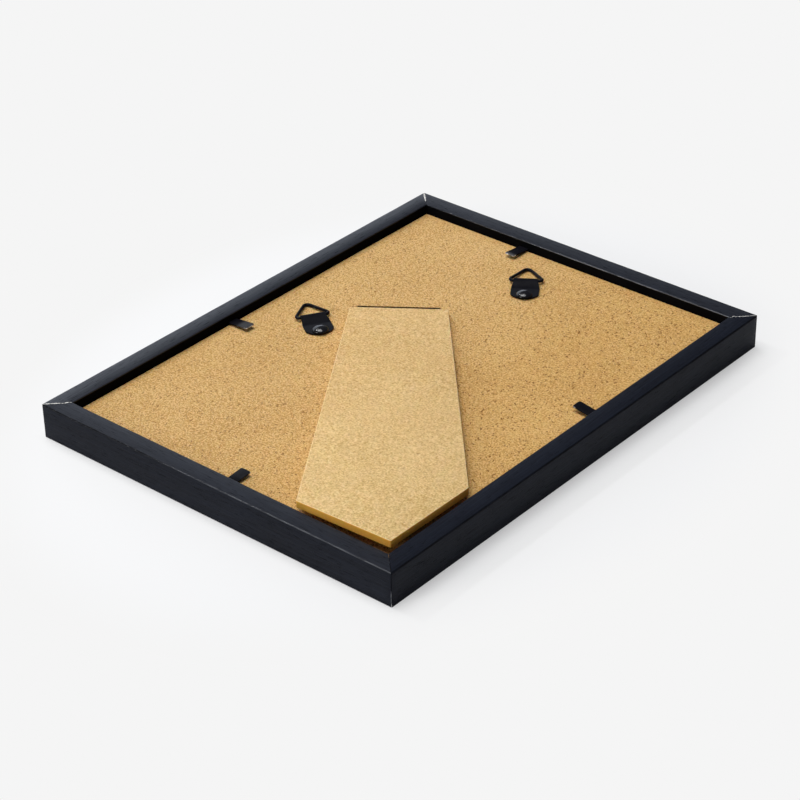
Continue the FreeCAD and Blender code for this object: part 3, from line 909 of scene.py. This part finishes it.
class PHOTOFRAME_OT_tape(bpy.types.Operator):
    """Lay the cloth tape up through the slit and under the leg"""

    bl_idname = "photoframe.tape"
    bl_label = "Hinge Tape"

    def execute(self, context):
        sizes = context.scene.photo_frame_tape
        leg = context.scene.photo_frame_leg
        hinge = joints["leg_hinge"]
        here = seat(hinge["pos_m"], -Vector(hinge["axis"]))
        drop = board_high.z - board_low.z + sizes.thickness
        level = board_high.z + sizes.thickness / 2 - hinge["pos_m"][2]
        slit = sizes.back_run + sizes.thickness / 2
        corners = (
            Vector((-sizes.flap, sizes.flap * math.sin(leg.opening))), Vector((0, 0)), Vector((slit, level)),
            Vector((slit, level - drop)), Vector((slit + sizes.front_run, level - drop)),
        )
        runs = list(zip(corners, corners[1:]))
        total = sum((end - start).length for start, end in runs)
        bm = bmesh.new()
        columns = round(sizes.width / (4 * sizes.step))
        bmesh.ops.create_grid(bm, x_segments=columns, y_segments=round(total / sizes.step), size=0.5)
        layer = bm.loops.layers.uv.new("weave")
        for face in bm.faces:
            for loop in face.loops:
                loop[layer].uv = (loop.vert.co.x * sizes.width, (loop.vert.co.y + 0.5) * total)
        for v in bm.verts:
            run = (v.co.y + 0.5) * total
            for start, end in runs:
                if run <= (end - start).length or end is corners[-1]:
                    break
                run -= (end - start).length
            point = start + (end - start).normalized() * run
            v.co = Vector((v.co.x * sizes.width - sizes.side_shift, point.x, point.y))
        # The cloth lies on both sides of its path, a little thinner than the room it has
        cloth = sizes.thickness * 0.9
        bm.normal_update()
        for v in bm.verts:
            v.co += v.normal * cloth / 2
        bmesh.ops.solidify(bm, geom=list(bm.faces), thickness=cloth)
        set_in_place(bm, here)
        tape = new_piece(
            bm, "hinge_tape", material("tape_cloth", cloth_finish),
            replaces=["hinge_tape_root", "hinge_tape_flap"],
        )
        towards = (here.to_3x3() @ Vector((0, 1, 0))) * sizes.fold
        heel = Vector(hinge["pos_m"])
        heel + towards
        heel - towards
        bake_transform(tape)
        return {"FINISHED"}


class PHOTOFRAME_OT_tabs(bpy.types.Operator):
    """Make the four flex tabs, each one steel strip with a bend at the wall"""

    bl_idname = "photoframe.tabs"
    bl_label = "Flex Tabs"

    # For each tab: how much painted light makes its outer half paler, how strong the painted highlight near
    # its tip is, and how many degrees it stands up
    looks = {
        "bottom": (0.015, 0.02, 5.0),
        "right": (0.0, 0.0, 9.0),
        "top": (0.0, 0.13, 6.0),
        "left": (0.075, 0.08, 5.5),
    }

    def execute(self, context):
        sizes = context.scene.photo_frame_tabs
        for side in SIDES:
            joint = joints["tab_bend_" + side]
            here = seat(joint["pos_m"], joint["axis"])
            pale, rub_and_highlight, tilt = self.looks[side]
            bm = self.strip(sizes, math.radians(tilt))
            set_in_place(bm, here @ Matrix.Rotation(math.pi / 2, 4, "Z"))
            tab = new_piece(
                bm, "flex_strip_" + side, material("tab_steel_" + side, tab_finish, pale, rub_and_highlight),
                replaces=["flex_tab_root_" + side, "flex_tab_" + side],
            )
            inwards = (here.to_3x3() @ Vector((0, 1, 0))) * sizes.fold
            bend_line = Vector(joint["pos_m"])
            bend_line - inwards
            bend_line + inwards
            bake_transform(tab)
        return {"FINISHED"}

    def strip(self, sizes, tilt):
        """A strip along X with round corners at its tip, bent up at its origin."""
        bm = bmesh.new()
        start, end, half, low = -sizes.bite - sizes.bend_room, sizes.blade, sizes.width / 2, -sizes.sheet / 2
        outline = [(start, -half, low), (end, -half, low), (end, half, low), (start, half, low)]
        solid_of(bm, outline, (0, 0, sizes.sheet))
        near_tip = end - MM
        upright = [e for e in bm.edges if e.verts[0].co.z * e.verts[1].co.z < 0]
        round_edges(bm, [e for e in upright if all(v.co.x > near_tip for v in e.verts)], sizes.tip, 5)
        round_edges(bm, [e for e in bm.edges if e.verts[0].co.z * e.verts[1].co.z > 0], sizes.edge, 2)
        cut_along_x(bm, start, end, sizes.step)
        bmesh.ops.recalc_face_normals(bm, faces=bm.faces)
        edge, run = (bm.faces.layers.float.new(mask) for mask in ("edge", "run"))
        for face in bm.faces:
            face[run] = max(0.0, face.calc_center_median().x / end)
            # The tip's sheared edges take a painted highlight
            face[edge] = face[run] > 0.85 and abs(face.normal.z) < 0.9
        for v in bm.verts:
            share = min(1.0, max(0.0, (v.co.x + sizes.fold) / (2 * sizes.fold)))
            v.co = Matrix.Rotation(-tilt * eased(share), 4, "Y") @ v.co
        return bm


def hanger_seat(side):
    """A hanger's frame on the board under its rivet: X towards the ring, Z up."""
    rivet = Vector(joints["hanger_swivel_" + side]["pos_m"])
    knuckle = Vector(joints["ring_hinge_" + side]["pos_m"])
    along = Vector((knuckle.x - rivet.x, knuckle.y - rivet.y, 0))
    return seat(Vector((rivet.x, rivet.y, board_high.z)), along)


def strap_path(sizes):
    """The middle of the folded sheet seen from its side, from the lower layer's end to the upper layer's."""
    low = sizes.lift + sizes.sheet / 2
    high = low + sizes.sheet
    radius = sizes.wire / 2 + sizes.play + sizes.sheet / 2
    centre = Vector((sizes.knuckle, low + radius))
    points = [Vector((-sizes.end, low)), Vector((sizes.knuckle, low))]
    for i in range(1, sizes.knuckle_steps + 1):
        angle = -math.pi / 2 + math.pi * i / sizes.knuckle_steps
        points.append(centre + radius * Vector((math.cos(angle), math.sin(angle))))
    points += [Vector((sizes.fold_start, high)), Vector((-sizes.end, high))]
    return points


def strap_half_width(along, sizes):
    """Half the strap's width at a distance from the rivet towards the ring."""
    share = min(1.0, max(0.0, (along - sizes.taper_start) / (sizes.taper_end - sizes.taper_start)))
    side = sizes.width / 2 + (sizes.neck - sizes.width) / 2 * eased(share)
    from_centre = min(0.0, along + sizes.end - sizes.end_radius)
    round_end = math.sqrt(max(0.0, sizes.end_radius ** 2 - from_centre ** 2))
    return min(side, round_end)


class PHOTOFRAME_OT_hangers(bpy.types.Operator):
    """Make the swivel hangers: strap, ring and rivet"""

    bl_idname = "photoframe.hangers"
    bl_label = "Hangers"

    def execute(self, context):
        sizes = context.scene.photo_frame_hangers
        plain = material("strap_lacquer", lacquer_finish, 0.09, 1.5)
        hammered = material("rivet_lacquer", lacquer_finish, 1.0, 4.0)
        for side in HANGERS:
            here = hanger_seat(side)
            for bm, name, body, node, finish in (
                (self.strap(sizes), "strap_" + side, "hanger_" + side, "hanger_strap_" + side, plain),
                (self.ring(sizes), "ring_" + side, "ring_" + side, "hanger_ring_" + side, plain),
                (self.rivet(sizes), "rivet_" + side, "frame", "hanger_rivet_" + side, hammered),
            ):
                set_in_place(bm, here)
                new_piece(bm, name, finish, body, [node], math.radians(50))
        return {"FINISHED"}

    def strap(self, sizes):
        """A strip of sheet that is folded over the wire and cut to its outline."""
        stations = self.stations(strap_path(sizes), sizes.layer_steps)
        bm = bmesh.new()
        bmesh.ops.create_grid(bm, x_segments=len(stations) - 1, y_segments=sizes.strap_columns, size=0.5)
        rows = sorted({round(v.co.x, 6) for v in bm.verts})
        for v in bm.verts:
            point = stations[rows.index(round(v.co.x, 6))]
            v.co = Vector((point.x, v.co.y * 2 * strap_half_width(point.x, sizes), point.y))
        bmesh.ops.remove_doubles(bm, verts=bm.verts, dist=1e-6)
        bmesh.ops.recalc_face_normals(bm, faces=bm.faces)
        # A little thinner than the sheet, so that the two layers don't touch
        bmesh.ops.solidify(bm, geom=list(bm.faces), thickness=sizes.sheet * 0.96)
        return bm

    def stations(self, path, steps):
        """Points along the folded sheet, closer together at its round ends."""
        found = []
        for start, end in zip(path, path[1:]):
            length = (end - start).length
            layer = abs(end.y - start.y) < 1e-9 and length > 4 * MM
            count = steps if layer else 3 if length > 2 * MM else 1
            for share in (i / count for i in range(count)):
                if layer:
                    angle = share * math.pi / 2
                    share = 1 - math.cos(angle) if start.x < end.x else math.sin(angle)
                found.append(start + (end - start) * share)
        return found + [path[-1]]

    def ring(self, sizes):
        """Half the ring is drawn from the gap in its base to its apex, and the rest is its mirror image."""
        half_apex = math.atan(sizes.ring_width / 2 / sizes.ring_height)
        base_turn = math.pi / 2 + half_apex
        apex_turn = math.pi / 2 - half_apex
        base_setback = sizes.ring_corner * math.tan(base_turn / 2)
        apex_setback = sizes.ring_apex * math.tan(apex_turn)
        side = math.hypot(sizes.ring_width / 2, sizes.ring_height)
        bm = bmesh.new()
        made = bmesh.ops.create_circle(bm, cap_ends=False, radius=sizes.wire / 2, segments=sizes.wire_steps)
        upright = Matrix.Translation((0, sizes.ring_gap / 2, 0)) @ Matrix.Rotation(math.pi / 2, 4, "X")
        bmesh.ops.transform(bm, matrix=upright, verts=made["verts"])
        loop = list(bm.edges)
        bmesh.ops.contextual_create(bm, geom=loop)
        heading = Vector((0, 1, 0))
        place = Vector((0, sizes.ring_gap / 2, 0))
        for run, turn, radius in (
            (sizes.ring_width / 2 - sizes.ring_gap / 2 - base_setback, base_turn, sizes.ring_corner),
            (side - base_setback - apex_setback, apex_turn, sizes.ring_apex),
        ):
            loop = self.drawn(bm, loop, heading * run)
            place = place + heading * run
            centre = place + UP.cross(heading) * -radius
            spun = bmesh.ops.spin(
                bm, geom=loop, cent=centre, axis=-UP, angle=turn, steps=max(6, round(math.degrees(turn) / 9)),
                use_duplicate=False, use_merge=False,
            )
            loop = kept(spun["geom_last"], bmesh.types.BMEdge)
            spin = Matrix.Rotation(-turn, 3, "Z")
            place = centre + spin @ (place - centre)
            heading = spin @ heading
        bmesh.ops.mirror(bm, geom=whole(bm), axis="Y", merge_dist=1e-5)
        level = sizes.lift + sizes.sheet + sizes.play + sizes.wire / 2
        reach = sizes.ring_height - sizes.ring_apex * (1 / math.sin(half_apex) - 1)
        drop = level - sizes.wire / 2 - sizes.ring_rest
        tilt = Matrix.Rotation(math.asin(drop / reach), 4, "Y")
        set_in_place(bm, Matrix.Translation((sizes.knuckle, 0, level)) @ tilt)
        return bm

    def drawn(self, bm, loop, move):
        """Draws an open loop of edges out along a vector, and gives the new loop."""
        out = bmesh.ops.extrude_edge_only(bm, edges=loop)
        verts = kept(out["geom"], bmesh.types.BMVert)
        bmesh.ops.translate(bm, verts=verts, vec=move)
        return [e for e in kept(out["geom"], bmesh.types.BMEdge) if all(v in verts for v in e.verts)]

    def rivet(self, sizes):
        """The rivet's outline, spun round its axis: a domed head, the shank and a spread tail."""
        base = 2 * sizes.lift + 2 * sizes.sheet
        radius = sizes.head / 2
        rise = sizes.head_height - sizes.head_rim
        dome = (radius ** 2 + rise ** 2) / (2 * rise)
        slope = math.asin(radius / dome)
        floor = board_low.z - board_high.z
        line = [(0, floor), (sizes.tail / 2, floor), (sizes.tail / 2, floor + sizes.tail_height)]
        line += [(sizes.shank / 2, floor + sizes.tail_height), (sizes.shank / 2, base)]
        # The head is bevelled under its rim, and the rim leans in a little
        bevel, bevel_height, lean = 0.15 * MM, 0.12 * MM, 0.05 * MM
        line += [(radius - bevel, base), (radius, base + bevel_height)]
        line += [(radius - lean, base + sizes.head_rim)]
        crown = base + sizes.head_height
        for i in range(1, sizes.head_rings + 1):
            angle = slope * (1 - i / sizes.head_rings) * 0.97
            line.append((dome * math.sin(angle), crown - dome + dome * math.cos(angle)))
        bm = bmesh.new()
        verts = [bm.verts.new((x, 0, z)) for x, z in line]
        edges = [bm.edges.new(pair) for pair in zip(verts, verts[1:])]
        bmesh.ops.spin(
            bm, geom=verts + edges, cent=(0, 0, 0), axis=UP, angle=2 * math.pi, steps=sizes.head_steps,
            use_merge=True, use_duplicate=False,
        )
        bmesh.ops.remove_doubles(bm, verts=bm.verts, dist=1e-6)
        dents_per_metre = 900
        for v in bm.verts:
            if v.co.z > base + sizes.head_rim:
                v.co.z += sizes.dent * noise.noise(v.co * dents_per_metre + Vector((2, 5, 1)))
        return bm


class PHOTOFRAME_OT_stage(bpy.types.Operator):
    """Set up the camera, the lamps, the light from all round and the floor"""

    bl_idname = "photoframe.stage"
    bl_label = "Stage"

    floor_size: length_prop("Floor size", "Width of the floor", 8000)
    floor_gap: length_prop("Floor gap", "Gap between the floor and the frame", 0.02)
    floor_glow: number_prop("Floor glow", "Share of the floor's colour that no shadow reaches", 0.42)
    glow_start: number_prop("Glow start", "Where the glow grows, in half sizes of the frame", 1.28)
    glow_end: number_prop("Glow end", "Where the glow is full, in half sizes of the frame", 1.7)
    cover: number_prop("Cover", "Share of the frame's size under which the floor is clear", 0.97)

    def execute(self, context):
        studio = context.scene.photo_frame_studio
        self.camera(context, studio)
        self.world(context, studio)
        self.floor(context, studio)
        for lamp in ("key", "side", "front", "spark"):
            settings = (getattr(studio, lamp + setting) for setting in ("_power", "_size", "_place"))
            self.lamp(context, lamp + "_lamp", *settings)
        context.scene.view_settings.view_transform = "Standard"
        return {"FINISHED"}

    def camera(self, context, studio):
        data = bpy.data.cameras.new("camera")
        data.sensor_width = 36
        data.lens = studio.lens
        data.shift_x, data.shift_y = studio.shift_x, studio.shift_y
        data.clip_start, data.clip_end = 0.01, 20
        camera = bpy.data.objects.new("camera", data)
        camera.location = studio.camera_place
        camera.rotation_euler = Euler(studio.camera_turn)
        context.scene.collection.objects.link(camera)
        context.scene.camera = camera

    def world(self, context, studio):
        """A soft light from all round, full from below the floor. The camera sees the backdrop's colour."""
        world = bpy.data.worlds.new("studio")
        nodes = Nodes(world, "ShaderNodeOutputWorld")
        direction = nodes.node("ShaderNodeTexCoord", {}, {}, "Generated")
        bright = (math.cos(studio.bright_turn), math.sin(studio.bright_turn), 0)
        inputs = {0: direction, 1: bright}
        towards = nodes.node("ShaderNodeVectorMath", {"operation": "DOT_PRODUCT"}, inputs, "Value")
        side = towards.step(studio.bright_start, studio.bright_end) * (studio.bright_sky - studio.sky)
        below = nodes.node("ShaderNodeSeparateXYZ", {}, {0: direction}, "Z").step(0, -0.2, "LINEAR")
        strength = (side + studio.sky).most(below)
        sky = nodes.node("ShaderNodeBackground", {}, {"Color": studio.sky_colour, "Strength": strength})
        backdrop = nodes.node("ShaderNodeBackground", {}, {"Color": studio.backdrop})
        nodes.show(nodes.mixed(nodes.node("ShaderNodeLightPath", {}, {}, "Is Camera Ray"), sky, backdrop))
        context.scene.world = world

    def floor(self, context, studio):
        bm = bmesh.new()
        bmesh.ops.create_grid(bm, x_segments=1, y_segments=1, size=self.floor_size / 2)
        mesh = bpy.data.meshes.new("floor")
        bm.to_mesh(mesh)
        bm.free()
        floor = bpy.data.objects.new("floor", mesh)
        floor.location.z = -self.floor_gap
        mesh.materials.append(self.floor_material(studio))
        context.scene.collection.objects.link(floor)

    def floor_material(self, studio):
        """Matt white, and clear from below and where the frame covers it, so that light reaches the front.

        What the camera sees is part its own glow, so that it is even out to the backdrop.
        """
        floor = bpy.data.materials.new("studio_floor")
        nodes = Nodes(floor, "ShaderNodeOutputMaterial")
        place = nodes.node("ShaderNodeTexCoord", {}, {}, "Object")
        sizes = (1 / half_width, 1 / half_length, 0)
        reach = nodes.node("ShaderNodeVectorMath", {"operation": "MULTIPLY"}, {0: place, 1: sizes})
        distance = nodes.node("ShaderNodeVectorMath", {"operation": "LENGTH"}, {0: reach}, "Value")
        rise = distance.step(self.glow_start, self.glow_end) * (1 - self.floor_glow) + self.floor_glow
        seen = nodes.node("ShaderNodeLightPath", {}, {}, "Is Camera Ray")
        matt = nodes.node("ShaderNodeBsdfDiffuse", {}, {"Color": studio.backdrop})
        glow = nodes.node("ShaderNodeEmission", {}, {"Color": studio.backdrop})
        extent = [abs(nodes.node("ShaderNodeSeparateXYZ", {}, {0: reach}, letter)) for letter in "XY"]
        covered = extent[0].most(extent[1]).math("LESS_THAN", self.cover)
        below = nodes.node("ShaderNodeNewGeometry", {}, {}, "Backfacing")
        clear = nodes.node("ShaderNodeBsdfTransparent", {}, {})
        nodes.show(nodes.mixed(below.most(covered), nodes.mixed(seen * rise, matt, glow), clear))
        return floor

    def lamp(self, context, name, power, size, place):
        """A round lamp that shines at the frame's middle."""
        data = bpy.data.lights.new(name, "AREA")
        data.energy = power
        data.shape = "DISK"
        data.size = size
        lamp = bpy.data.objects.new(name, data)
        lamp.location = place
        lamp.rotation_euler = (-Vector(place)).to_track_quat("-Z", "Y").to_euler()
        context.scene.collection.objects.link(lamp)


OPERATORS = (
    PHOTOFRAME_OT_stage,
    PHOTOFRAME_OT_rails,
    PHOTOFRAME_OT_mitre_chips,
    PHOTOFRAME_OT_board,
    PHOTOFRAME_OT_leg,
    PHOTOFRAME_OT_tape,
    PHOTOFRAME_OT_tabs,
    PHOTOFRAME_OT_hangers,
)


class PHOTOFRAME_PT_panel(bpy.types.Panel):
    """Lists the frame's pieces"""

    bl_label = "Photo Frame"
    bl_idname = "PHOTOFRAME_PT_panel"
    bl_space_type = "VIEW_3D"
    bl_region_type = "UI"
    bl_category = "Photo Frame"

    def draw(self, context):
        for operator in OPERATORS:
            self.layout.operator(operator.bl_idname)
        for group, kind in SCENE_GROUPS.items():
            box = self.layout.box()
            box.label(text=kind.__doc__)
            for name in kind.__annotations__:
                box.prop(getattr(context.scene, group), name)


CLASSES = (*SCENE_GROUPS.values(), *OPERATORS, PHOTOFRAME_PT_panel)


def register():
    for cls in CLASSES:
        bpy.utils.register_class(cls)
    for name, group in SCENE_GROUPS.items():
        setattr(bpy.types.Scene, name, PointerProperty(type=group))


def unregister():
    for name in SCENE_GROUPS:
        delattr(bpy.types.Scene, name)
    for cls in reversed(CLASSES):
        bpy.utils.unregister_class(cls)


def main():
    register()
    for operator in OPERATORS:
        group, action = operator.bl_idname.split(".")
        getattr(getattr(bpy.ops, group), action)()


if __name__ == "__main__":
    main()
